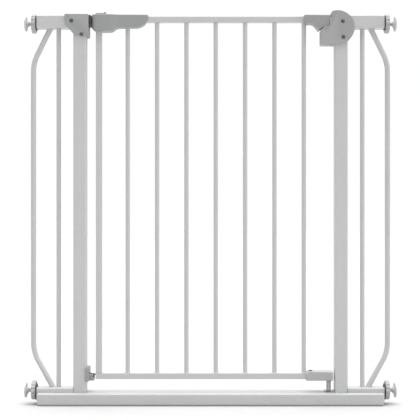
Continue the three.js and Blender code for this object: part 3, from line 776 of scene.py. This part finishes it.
def make_pad(node, side):
    """A soft round foot: dished cup, thin rim and a collar on the spindle."""
    low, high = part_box(node)
    radius = (high.z - low.z) / 2
    out = max(abs(low.x), abs(high.x))
    profile = [
        (radius - 1.0 * MM, out), (radius - 0.35 * MM, out - 0.15 * MM), (radius, out - 0.7 * MM),
        (radius, out - 1.7 * MM), (radius - 0.3 * MM, out - 2.5 * MM), (radius - 1.0 * MM, out - 3.0 * MM),
        (radius - 3.5 * MM, out - 3.3 * MM), (9.2 * MM, out - 3.9 * MM), (7.4 * MM, out - 4.6 * MM),
        (6.5 * MM, out - 5.6 * MM), (6.3 * MM, out - 6.8 * MM), (5.9 * MM, out - 7.2 * MM),
        (SPINDLE_BORE, out - 7.2 * MM), (SPINDLE_BORE, out - 4.7 * MM),
    ]
    turned = [(r, side * h) for r, h in profile]
    stand_for(revolve(node, turned, "x", middle(node), 56, sharp=40), node)


def make_plug(node, side):
    """The tube's end plug: a square spigot, a plate over the tube's end and a thrust disc."""
    low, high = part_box(node)
    word = node.replace("end_plug_", "")
    axis = middle(f"threaded_rod_{word}")
    stub_low, stub_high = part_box(f"stub_{word}")
    tube = middle(f"stub_{word}")
    out = max(abs(low.x), abs(high.x))
    tail = min(abs(low.x), abs(high.x))
    face = max(abs(stub_low.x), abs(stub_high.x)) + CLEARANCE

    def slab(half, start, end, edge):
        left, right = sorted((side * start, side * end))
        return block("slab", (left, -half, tube.z - half), (right, half, tube.z + half), edge)

    plug = slab(PLUG_PLATE, face, out, 0.8 * MM)
    left, right = sorted((side * face, side * out))
    join(
        plug,
        slab(PLUG_SPIGOT, tail, face + 1 * MM, 0.6 * MM),
        rod("disc", PLUG_DISC, left + 0.05 * MM, right - 0.05 * MM, "x", axis, 56, 0.5 * MM),
    )
    left, right = sorted((side * (tail - PAST), side * (out + PAST)))
    cut(plug, rod("bore", SPINDLE_BORE, left, right, "x", axis))
    stand_reshaped(plug, node)


def make_spindles():
    for word in CORNERS:
        side = -1 if word.endswith("left") else 1
        make_plug(f"end_plug_{word}", side)
        make_nut(f"adjusting_nut_{word}", side)
        make_rod(f"threaded_rod_{word}", side)
        make_pad(f"wall_pad_{word}", side)


# ---------------------------------------------------------------- screws
def make_screw(node):
    """A pan-head screw with a cross recess, lying along Y with its head to the front."""
    low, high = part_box(node)
    centre = middle(node)
    head = (high.x - low.x) / 2
    top = low.y
    shank = 1.8 * MM
    rise = 1.4 * MM
    profile = [
        (0.5 * MM, top), (head * 0.55, top + 0.08 * MM), (head * 0.82, top + 0.3 * MM),
        (head * 0.96, top + 0.7 * MM), (head, top + rise * 0.8), (head, top + rise),
        (shank, top + rise), (shank, high.y - 1 * MM), (0.3 * MM, high.y),
    ]
    screw = revolve(node, profile, "y", centre, 40)
    arm = 0.42 * MM
    reach = head * 0.58
    depth = top + 0.9 * MM
    cut(
        screw,
        *(
            block("slot", (centre.x - across, top - PAST, centre.z - up),
                  (centre.x + across, depth, centre.z + up))
            for across, up in ((arm, reach), (reach, arm))
        ),
    )
    stand_reshaped(screw, node)


def screw_seat(node):
    """The counterbored hole that a screw's head sits in."""
    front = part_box(node)[0].y
    profile = [
        (4.3 * MM, -30 * MM), (3.9 * MM, front + 0.9 * MM), (3.9 * MM, front + 1.7 * MM),
        (2.1 * MM, front + 1.7 * MM), (2.1 * MM, -4 * MM),
    ]
    return revolve("seat", profile, "y", middle(node), 40)


# ---------------------------------------------------------------- upper hinge
SHELL_WALL = 2.2 * MM
SHELL_FACE = 2.7 * MM  # wall of the front and rear faces
SHELL_EDGE = 1.6 * MM
BAR_HOLE = 4.8 * MM  # radius of the hole in a moulding that a door bar goes through
FAR_BELOW = 700 * MM  # height under every upper moulding, where cutters start
ARM_FLANGE_LEFT = -238.5 * MM
ARM_FLANGE_RIGHT = -234.5 * MM
ARM_NECK = 3.5 * MM  # half depth
ARM_BOTTOM = 749 * MM
ARM_TOP = 759 * MM
ARM_EYE = 7.5 * MM
ARM_EYE_BORE = 4.4 * MM
COVER_BARREL = 14.5 * MM
COVER_ROOM = 11.8 * MM  # radius of the hollow round the arm's eye
COVER_FLOOR = 737 * MM
COVER_GRIP_BOTTOM = 740.2 * MM
SWITCH_TRAVEL = 4 * MM


def casing_outline(inset=0.0):
    """The hinge casing from the front: square at the post, swept away to the lower left."""
    low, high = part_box("hinge_casing_front")
    left, right = low.x + inset + 0.15 * MM, high.x - inset
    top, bottom = high.z - inset, low.z + inset
    shape = Outline(right, top - 1 * MM).quad(right, top, right - 1 * MM, top, 3)
    shape.line(left + 3 * MM, top).quad(left, top, left, top - 3.6 * MM)
    shape.cubic(
        left - 0.7 * MM, top - 21.6 * MM, left + 14.3 * MM, bottom + 2.1 * MM, left + 39.6 * MM, bottom, 28
    )
    return shape.line(right - 3 * MM, bottom).quad(right, bottom, right, bottom + 3 * MM)


def post_room(word):
    """The space of a post and its top stub, with clearance."""
    return [block("room", *widened(node), TUBE_CORNER) for node in (f"post_{word}", f"stub_top_{word}")]


def hollow_shell(name, outline, half):
    """A moulding drawn by an outline, and the cutter that hollows it."""
    shell = outline().prism(name, -half, half, SHELL_EDGE)
    return shell, outline(SHELL_WALL).prism("hollow", -half + SHELL_FACE, half - SHELL_FACE)


def make_casing():
    """The casing round the left post, hollow, with a window for the hinge arm."""
    low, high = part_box("hinge_casing_front")
    arm_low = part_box("hinge_arm")[0]
    casing, hollow = hollow_shell("casing", casing_outline, -low.y)
    window = block(
        "window", (arm_low.x - PAST, -4.6 * MM, 747.2 * MM), (high.x + 2 * PAST, 4.6 * MM, 760.8 * MM)
    )
    cut(
        casing, hollow, window, *post_room("left"),
        screw_seat("casing_screw_upper"), screw_seat("casing_screw_lower"),
    )
    split_shells(casing, "hinge_casing_front", "hinge_casing_rear")


def hinge_axis():
    """A point on the line that the door turns about."""
    return middle("hinge_pin")


def make_hinge_arm():
    """A flanged arm from the post, ending in the eye that the pin turns in."""
    low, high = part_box("hinge_arm")
    axis = hinge_axis()
    root_low = (low.x, -4.3 * MM, 747.5 * MM)
    root_high = (ARM_FLANGE_LEFT + 1 * MM, 4.3 * MM, 760.5 * MM)
    neck_low = (ARM_FLANGE_RIGHT - 1 * MM, -ARM_NECK, ARM_BOTTOM)
    arm = block("root", root_low, root_high, 0.4 * MM)
    join(
        arm,
        block("flange", (ARM_FLANGE_LEFT, low.y, low.z), (ARM_FLANGE_RIGHT, high.y, high.z), 1.2 * MM),
        block("neck", neck_low, (axis.x - 5 * MM, ARM_NECK, ARM_TOP), 0.6 * MM),
        rod("eye", ARM_EYE, ARM_BOTTOM, ARM_TOP, "z", axis, 48, 0.5 * MM),
    )
    cut(arm, rod("eye_bore", ARM_EYE_BORE, 740 * MM, 770 * MM, "z", axis))
    # the arm's near-black finish is partly painted shade, for the shade it sits in between casing and cover
    stand_reshaped(arm, "hinge_arm")


def lerp_along(points, x):
    """The height of a line of points, sorted by x, above x."""
    for (x0, z0), (x1, z1) in zip(points, points[1:]):
        if x <= x1:
            return z0 if x1 == x0 else z0 + (z1 - z0) * max(0.0, (x - x0) / (x1 - x0))
    return points[-1][1]


def cover_body():
    """The hinge cover: a barrel round the pin that runs out into a slim grip over the top rail."""
    low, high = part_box("hinge_cover_front")
    axis = hinge_axis()
    barrel = COVER_BARREL
    left, right, top = axis.x - barrel, high.x, high.z
    bulge = low.z
    flat = COVER_GRIP_BOTTOM
    under = Outline(left, bulge + 11 * MM)
    under.cubic(left, bulge + 4 * MM, left + 6 * MM, bulge, left + 16 * MM, bulge)
    under.line(right - 76.4 * MM, bulge)
    under.cubic(right - 68.4 * MM, bulge, right - 66.4 * MM, flat, right - 58.4 * MM, flat)
    under.line(right - 26.4 * MM, flat)
    under.cubic(
        right - 11.4 * MM, flat + 0.2 * MM, right - 1.9 * MM, top - 14.6 * MM, right, top - 4.6 * MM, 30
    )
    over = Outline(left, top - 2 * MM).quad(left, top, left + 2 * MM, top)
    over.line(right - 4.4 * MM, top).quad(right, top, right, top - 4.6 * MM, 12)
    plan = Outline(axis.x + 20 * MM, barrel)
    plan.cubic(axis.x + 30 * MM, barrel, axis.x + 34 * MM, 10.6 * MM, axis.x + 46 * MM, 10.4 * MM)
    plan.line(right - 4 * MM, 9.6 * MM).quad(right, 9.6 * MM, right, 5.6 * MM, 12)

    def half_depth(x):
        if x < axis.x:
            return math.sqrt(max(barrel ** 2 - (x - axis.x) ** 2, 0))
        return barrel if x < axis.x + 20 * MM else lerp_along(plan.points, x)

    stations = [left + barrel * (1 - math.cos(math.pi / 2 * i / 30)) for i in range(31)]
    stations[0] = left + 0.02 * MM
    tip = right - 8 * MM
    slices = int((tip - axis.x) / (1.5 * MM))
    stations += [axis.x + (tip - axis.x) * i / slices for i in range(1, slices + 1)]
    stations += [tip + 7.97 * MM * math.sin(math.pi / 2 * i / 14) for i in range(1, 15)]
    rings = []
    for x in stations:
        z0, z1 = lerp_along(under.points, x), lerp_along(over.points, x)
        depth = max(half_depth(x), 0.3 * MM)
        section = rounded_section(depth, max((z1 - z0) / 2, 0.2 * MM), 1.8 * MM, steps=7)
        rings.append([(x, u, (z0 + z1) / 2 + v) for u, v in section])
    return loft("cover", rings)


def make_hinge_cover():
    """The hinge cover, with room for the arm, the rail, the first bar and the switch."""
    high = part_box("hinge_cover_front")[1]
    axis = hinge_axis()
    rail_low, rail_high = widened("door_top_rail")
    upright_low, upright_high = widened("door_upright")
    slot_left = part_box("stay_open_switch")[0].x + 8.6 * MM
    cover = cut(
        cover_body(),
        rod("barrel_room", COVER_ROOM, COVER_FLOOR, high.z - 2.4 * MM, "z", axis, 64),
        block("rail_channel", rail_low, (high.x + 2 * PAST, rail_high.y, rail_high.z)),
        block("upright_seat", (upright_low.x, upright_low.y, FAR_BELOW),
              (upright_high.x, upright_high.y, COVER_FLOOR + 0.2 * MM)),
        rod("bar_hole", BAR_HOLE, FAR_BELOW, rail_low.z + PAST, "z", middle("door_bar_1")),
        block("arm_window", (axis.x - 20 * MM, -4.2 * MM, 742.2 * MM),
              (axis.x + 4.3 * MM, 20 * MM, 759.8 * MM)),
        block("switch_slot", (slot_left, -2.4 * MM, high.z - 4 * MM),
              (slot_left + 4.8 * MM + SWITCH_TRAVEL, 2.4 * MM, high.z + 2 * PAST)),
    )
    split_shells(cover, "hinge_cover_front", "hinge_cover_rear")


def make_hinge_pin():
    low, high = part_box("hinge_pin")
    pin = rod("pin", (high.x - low.x) / 2, low.z, high.z, "z", hinge_axis(), 48, 0.6 * MM)
    stand_for(pin, "hinge_pin")


def make_stay_open_switch():
    """A thumb switch on the cover's top, with a stem down through its slot."""
    low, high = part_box("stay_open_switch")
    plate_top = low.z + 5.9 * MM
    cover_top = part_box("hinge_cover_front")[1].z
    switch = block("plate", (low.x, low.y, cover_top + CLEARANCE), (high.x, high.y, plate_top), 1.2 * MM)
    thumb = block("thumb", (high.x - 4.8 * MM, low.y + 2 * MM, plate_top - 1 * MM),
                  (high.x - 0.2 * MM, high.y - 2 * MM, high.z), 0.8 * MM)
    stem = block("stem", (low.x + 9 * MM, -2 * MM, low.z),
                 (low.x + 13 * MM, 2 * MM, cover_top + 1 * MM), 0.3 * MM)
    join(switch, thumb, stem)
    stand_reshaped(switch, "stay_open_switch")


# ---------------------------------------------------------------- latch
HANDLE_BOTTOM = 748 * MM
HANDLE_WEB_LEFT = 222.2 * MM
HANDLE_WEB_RIGHT = 232.8 * MM
HANDLE_LEDGE = 742.6 * MM
HANDLE_LIP_BOTTOM = 761.6 * MM
HANDLE_EDGE = 1.8 * MM
BOLT_TRAVEL = 9 * MM
HOUSING_RADIUS = 33.1 * MM
HOUSING_X, HOUSING_Z = 248.8 * MM, 739.6 * MM  # centre of the dome
HOUSING_NOTCH = 236.8 * MM
HOUSING_LEDGE = 742.1 * MM
HOUSING_CHAMFER = 7.5 * MM
BOLT_WINDOW_GAP = 0.4 * MM


def handle_outline():
    """The handle from the front, with the web and the lip that reach over to the housing."""
    low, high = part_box("handle_front")
    left, right, top = low.x, high.x, high.z
    bottom = HANDLE_BOTTOM
    shape = Outline(left, bottom + 3 * MM).line(left, top - 3 * MM).quad(left, top, left + 3 * MM, top)
    shape.line(right - 1 * MM, top).quad(right, top, right, top - 1 * MM, 3)
    shape.line(right, HANDLE_LIP_BOTTOM).line(HANDLE_WEB_RIGHT, HANDLE_LIP_BOTTOM)
    shape.line(HANDLE_WEB_RIGHT, HANDLE_LEDGE).line(HANDLE_WEB_LEFT, HANDLE_LEDGE).line(213 * MM, low.z)
    shape.line(202.4 * MM, bottom - 1 * MM).quad(201.5 * MM, bottom, 200 * MM, bottom, 4)
    return shape.line(left + 3 * MM, bottom).quad(left, bottom, left, bottom + 3 * MM)


def make_handle():
    """The handle, with channels for the rail, the last bar, the bolt and the slider."""
    low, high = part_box("handle_front")
    rail_low, rail_high = widened("door_top_rail")
    bolt_low, bolt_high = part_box("top_bolt")
    slider_low, slider_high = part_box("thumb_slider")
    grip = cut(
        handle_outline().prism("handle", low.y, -low.y, HANDLE_EDGE),
        block("rail_channel", (170 * MM, rail_low.y, rail_low.z), rail_high),
        rod("bar_hole", BAR_HOLE, FAR_BELOW, rail_low.z + PAST, "z", middle("door_bar_7")),
        block("bolt_channel", (bolt_low.x - 0.7 * MM, bolt_low.y - CLEARANCE, bolt_low.z - CLEARANCE),
              (high.x + 2 * PAST, bolt_high.y + CLEARANCE, bolt_high.z + CLEARANCE)),
        block("slider_slot", (slider_low.x - 0.5 * MM, slider_low.y - 0.4 * MM, bolt_high.z),
              (slider_high.x + BOLT_TRAVEL + 0.7 * MM, slider_high.y + 0.4 * MM, high.z + 2 * PAST)),
    )
    split_shells(grip, "handle_front", "handle_rear")


def make_thumb_slider():
    """The slider on the handle's top, with grooves for the thumb."""
    low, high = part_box("thumb_slider")
    slider = block("slider", low, high, 0.6 * MM)
    grooves = 5
    pitch = (high.x - low.x) / (grooves + 1)
    for i in range(1, grooves + 1):
        x = low.x + i * pitch
        hub = (x, 0, high.z + 0.1 * MM)
        cut(slider, rod("groove", 0.55 * MM, low.y - PAST, high.y + PAST, "y", hub, 16))
    stand_reshaped(slider, "thumb_slider")


def make_top_bolt():
    """A flat bolt with a nose tapered on both cheeks."""
    low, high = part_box("top_bolt")
    nose = 2 * MM
    bm = bmesh.new()
    plan = [
        (low.x, low.y), (high.x - nose, low.y), (high.x, low.y + nose),
        (high.x, high.y - nose), (high.x - nose, high.y), (low.x, high.y),
    ]
    face = bm.faces.new([bm.verts.new((x, y, low.z)) for x, y in plan])
    raised = bmesh.ops.extrude_face_region(bm, geom=[face])
    top = [v for v in raised["geom"] if isinstance(v, bmesh.types.BMVert)]
    bmesh.ops.translate(bm, vec=(0, 0, high.z - low.z), verts=top)
    bmesh.ops.bevel(bm, geom=bm.edges, offset=0.35 * MM, segments=2, profile=0.5, affect="EDGES")
    stand_for(object_from(bm, "bolt"), "top_bolt")


def housing_outline(inset=0.0):
    """A round dome with a squared lower-left corner, notched where the handle ends."""
    x, z, radius = HOUSING_X, HOUSING_Z, HOUSING_RADIUS - inset
    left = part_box("latch_housing_front")[0].x + inset
    notch = HOUSING_NOTCH + inset
    ledge = HOUSING_LEDGE - inset
    start = math.acos((notch + 2.6 * MM - x) / radius)
    shape = Outline(left + 0.8 * MM, z - radius).line(x, z - radius)
    shape.arc(x, z, radius, -math.pi / 2, start, 72)
    dome_top = z + radius * math.sin(start)
    shape.quad(notch, dome_top - 0.8 * MM, notch, dome_top - 3.6 * MM)
    shape.line(notch, ledge).line(left + HOUSING_CHAMFER, ledge).line(left, ledge - HOUSING_CHAMFER)
    return shape.line(left, z - radius + 0.8 * MM)


def make_housing():
    """The housing round the right post, hollow, with a window for the bolt."""
    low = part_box("latch_housing_front")[0]
    bolt_low, bolt_high = widened("top_bolt", BOLT_WINDOW_GAP)
    housing, hollow = hollow_shell("housing", housing_outline, -low.y)
    window = block("window", (235 * MM, bolt_low.y, bolt_low.z),
                   (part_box("post_right")[0].x, bolt_high.y, bolt_high.z))
    cut(
        housing, hollow, window, *post_room("right"),
        screw_seat("housing_screw_upper"), screw_seat("housing_screw_lower"),
    )
    split_shells(housing, "latch_housing_front", "latch_housing_rear")
    add_trim(
        block("strike_strip", (233.4 * MM, -12.6 * MM, 743.2 * MM),
              (236.75 * MM, -9 * MM, 760.8 * MM), 0.4 * MM),
        "frame", "powder_coat",
    )


# ---------------------------------------------------------------- lower hardware
CLIP_FACE = -238 * MM
LOWER_ARM_END = -230.8 * MM
LOWER_LIP_END = -228.6 * MM
LOWER_ARM_BOTTOM = 47.2 * MM
LOWER_ARM_TOP = 59.5 * MM
LOWER_ARM_HALF = 9 * MM
LOWER_LIP_TOP = 53 * MM
TONGUE_HALF = 3.4 * MM
TONGUE_END = 4.5 * MM
DARK_DOT_X = -235.3 * MM
LOWER_PIN = 4.5 * MM
LOWER_PIN_COLLAR = 6.5 * MM
BUSH_BORE = 4.9 * MM


def make_lower_hinge():
    """A clip round the post with an arm, and a thin tongue with a pin inside the bottom rail."""
    low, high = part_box("lower_hinge_bracket")
    axis = hinge_axis()
    post_low, post_high = widened("post_left")
    pin_low, pin_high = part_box("lower_hinge_pin")
    arm_low = (CLIP_FACE - 2 * MM, -LOWER_ARM_HALF, LOWER_ARM_BOTTOM)
    bracket = block("clip", low, (CLIP_FACE, high.y, high.z), 1.4 * MM)
    join(
        bracket,
        block("arm", arm_low, (LOWER_ARM_END, LOWER_ARM_HALF, LOWER_ARM_TOP), 0.9 * MM),
        block("lip", arm_low, (LOWER_LIP_END, LOWER_ARM_HALF, LOWER_LIP_TOP), 0.9 * MM),
        block("tongue", (LOWER_ARM_END - 3 * MM, -TONGUE_HALF, pin_low.z),
              (axis.x, TONGUE_HALF, LOWER_ARM_TOP), 0.3 * MM),
        rod("tongue_end", TONGUE_END, pin_low.z, LOWER_ARM_TOP, "z", axis, 48, 0.3 * MM),
    )
    cut(
        bracket,
        block("post_room", (low.x - 9 * MM, post_low.y, 20 * MM),
              (post_high.x, post_high.y, 100 * MM), TUBE_CORNER),
        rod("pin_hole", HINGE_EYE_BORE, 30 * MM, 70 * MM, "z", axis),
    )
    stand_reshaped(bracket, "lower_hinge_bracket")

    radius = (pin_high.x - pin_low.x) / 2
    profile = [
        (radius - 0.4 * MM, pin_low.z), (radius, pin_low.z + 0.4 * MM),
        (radius, pin_high.z - 1.4 * MM), (radius - 1.4 * MM, pin_high.z),
    ]
    stand_for(revolve("pin", profile, "z", axis, 40), "lower_hinge_pin")

    # painted shade: a near-black block filling the gap between the arm's end and the rail, where shade falls
    add_trim(
        block("bush", (LOWER_ARM_END + 0.05 * MM, -5 * MM, 53.2 * MM),
              (LOWER_LIP_END, 5 * MM, 60.4 * MM), 0.4 * MM),
        "frame", "dark_plastic",
    )
    # a small near-black raised disc on the arm's top, where the arm shows a dark spot
    head = [
        (3 * MM, LOWER_ARM_TOP + 0.05 * MM), (3 * MM, LOWER_ARM_TOP + 0.9 * MM),
        (2.4 * MM, LOWER_ARM_TOP + 1.4 * MM),
    ]
    add_trim(revolve("dark_dot", head, "z", (DARK_DOT_X, 0, 0), 32), "frame", "dark_plastic")


def make_lower_latch():
    """The lower latch bracket, its drop pin and the bush that guides the pin."""
    low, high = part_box("lower_latch_bracket")
    corner = 8 * MM
    pin_low, pin_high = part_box("lower_pin")
    pin = middle("lower_pin")
    shape = Outline(low.x, low.z).line(high.x, low.z).line(high.x, high.z)
    shape.line(low.x + corner, high.z).arc(low.x + corner, high.z - corner, corner, math.pi / 2, math.pi, 12)
    bracket = cut(
        shape.prism("bracket", low.y, high.y, 1.3 * MM),
        block("rail_channel", *widened("door_bottom_rail")),
        rod("pin_room", 7 * MM, 49.7 * MM, pin_high.z + 0.4 * MM, "z", pin),
        rod("pin_exit", BUSH_BORE, 40 * MM, 50 * MM, "z", pin),
    )
    stand_reshaped(bracket, "lower_latch_bracket")

    radius, collar = LOWER_PIN, LOWER_PIN_COLLAR
    collar_z = pin_low.z + 33.8 * MM
    profile = [
        (radius - 1.4 * MM, pin_low.z), (radius - 0.5 * MM, pin_low.z + 0.3 * MM),
        (radius, pin_low.z + 1.1 * MM), (radius, collar_z), (collar, collar_z), (collar, collar_z + 2 * MM),
        (radius, collar_z + 2 * MM), (radius, pin_high.z - 0.5 * MM), (radius - 0.5 * MM, pin_high.z),
    ]
    stand_for(revolve("pin", profile, "z", pin, 48), "lower_pin")

    bush_low, bush_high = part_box("lower_pin_bush")
    inner = BUSH_BORE
    outer = (bush_high.x - bush_low.x) / 2
    profile = [
        (inner, bush_low.z), (outer - 0.4 * MM, bush_low.z), (outer, bush_low.z + 0.4 * MM),
        (outer, bush_high.z), (inner, bush_high.z),
    ]
    stand_for(revolve("bush", profile, "z", pin, 48, looped=True), "lower_pin_bush")


def make_catch_plate():
    """A thin plate on the base with two lugs and a hole for the drop pin."""
    low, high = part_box("catch_plate")
    top = low.z + 1.2 * MM
    plate = block("plate", low, (high.x, high.y, top), 0.3 * MM, 2)
    join(
        plate,
        *(
            block("lug", (left, -6 * MM, low.z), (left + 2 * MM, 6 * MM, high.z), 0.5 * MM, 2)
            for left in (low.x, 239.2 * MM)
        ),
    )
    cut(plate, rod("pin_hole", PIN_HOLE, 0, 60 * MM, "z", middle("lower_pin")))
    stand_reshaped(plate, "catch_plate")


def make_bracket_screw():
    """The screw that holds the lower bracket on the bottom rail, head up."""
    low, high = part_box("lower_latch_bracket")
    profile = [
        (3.6 * MM, high.z - 0.4 * MM), (3.6 * MM, high.z + 0.9 * MM), (3.2 * MM, high.z + 1.5 * MM),
        (2.2 * MM, high.z + 1.9 * MM), (0.6 * MM, high.z + 2.0 * MM),
    ]
    screw = revolve("bracket_screw", profile, "z", (low.x + 9 * MM, 0, 0), 40)
    add_trim(screw, "door", "dark_plastic")


make_camera()
make_stage()
make_tubes_and_bars()
make_spindles()
for screw_node in ("casing_screw_upper", "casing_screw_lower", "housing_screw_upper", "housing_screw_lower"):
    make_screw(screw_node)
make_casing()
make_hinge_arm()
make_hinge_cover()
make_hinge_pin()
make_stay_open_switch()
make_handle()
make_thumb_slider()
make_top_bolt()
make_housing()
make_lower_hinge()
make_lower_latch()
make_catch_plate()
make_bracket_screw()
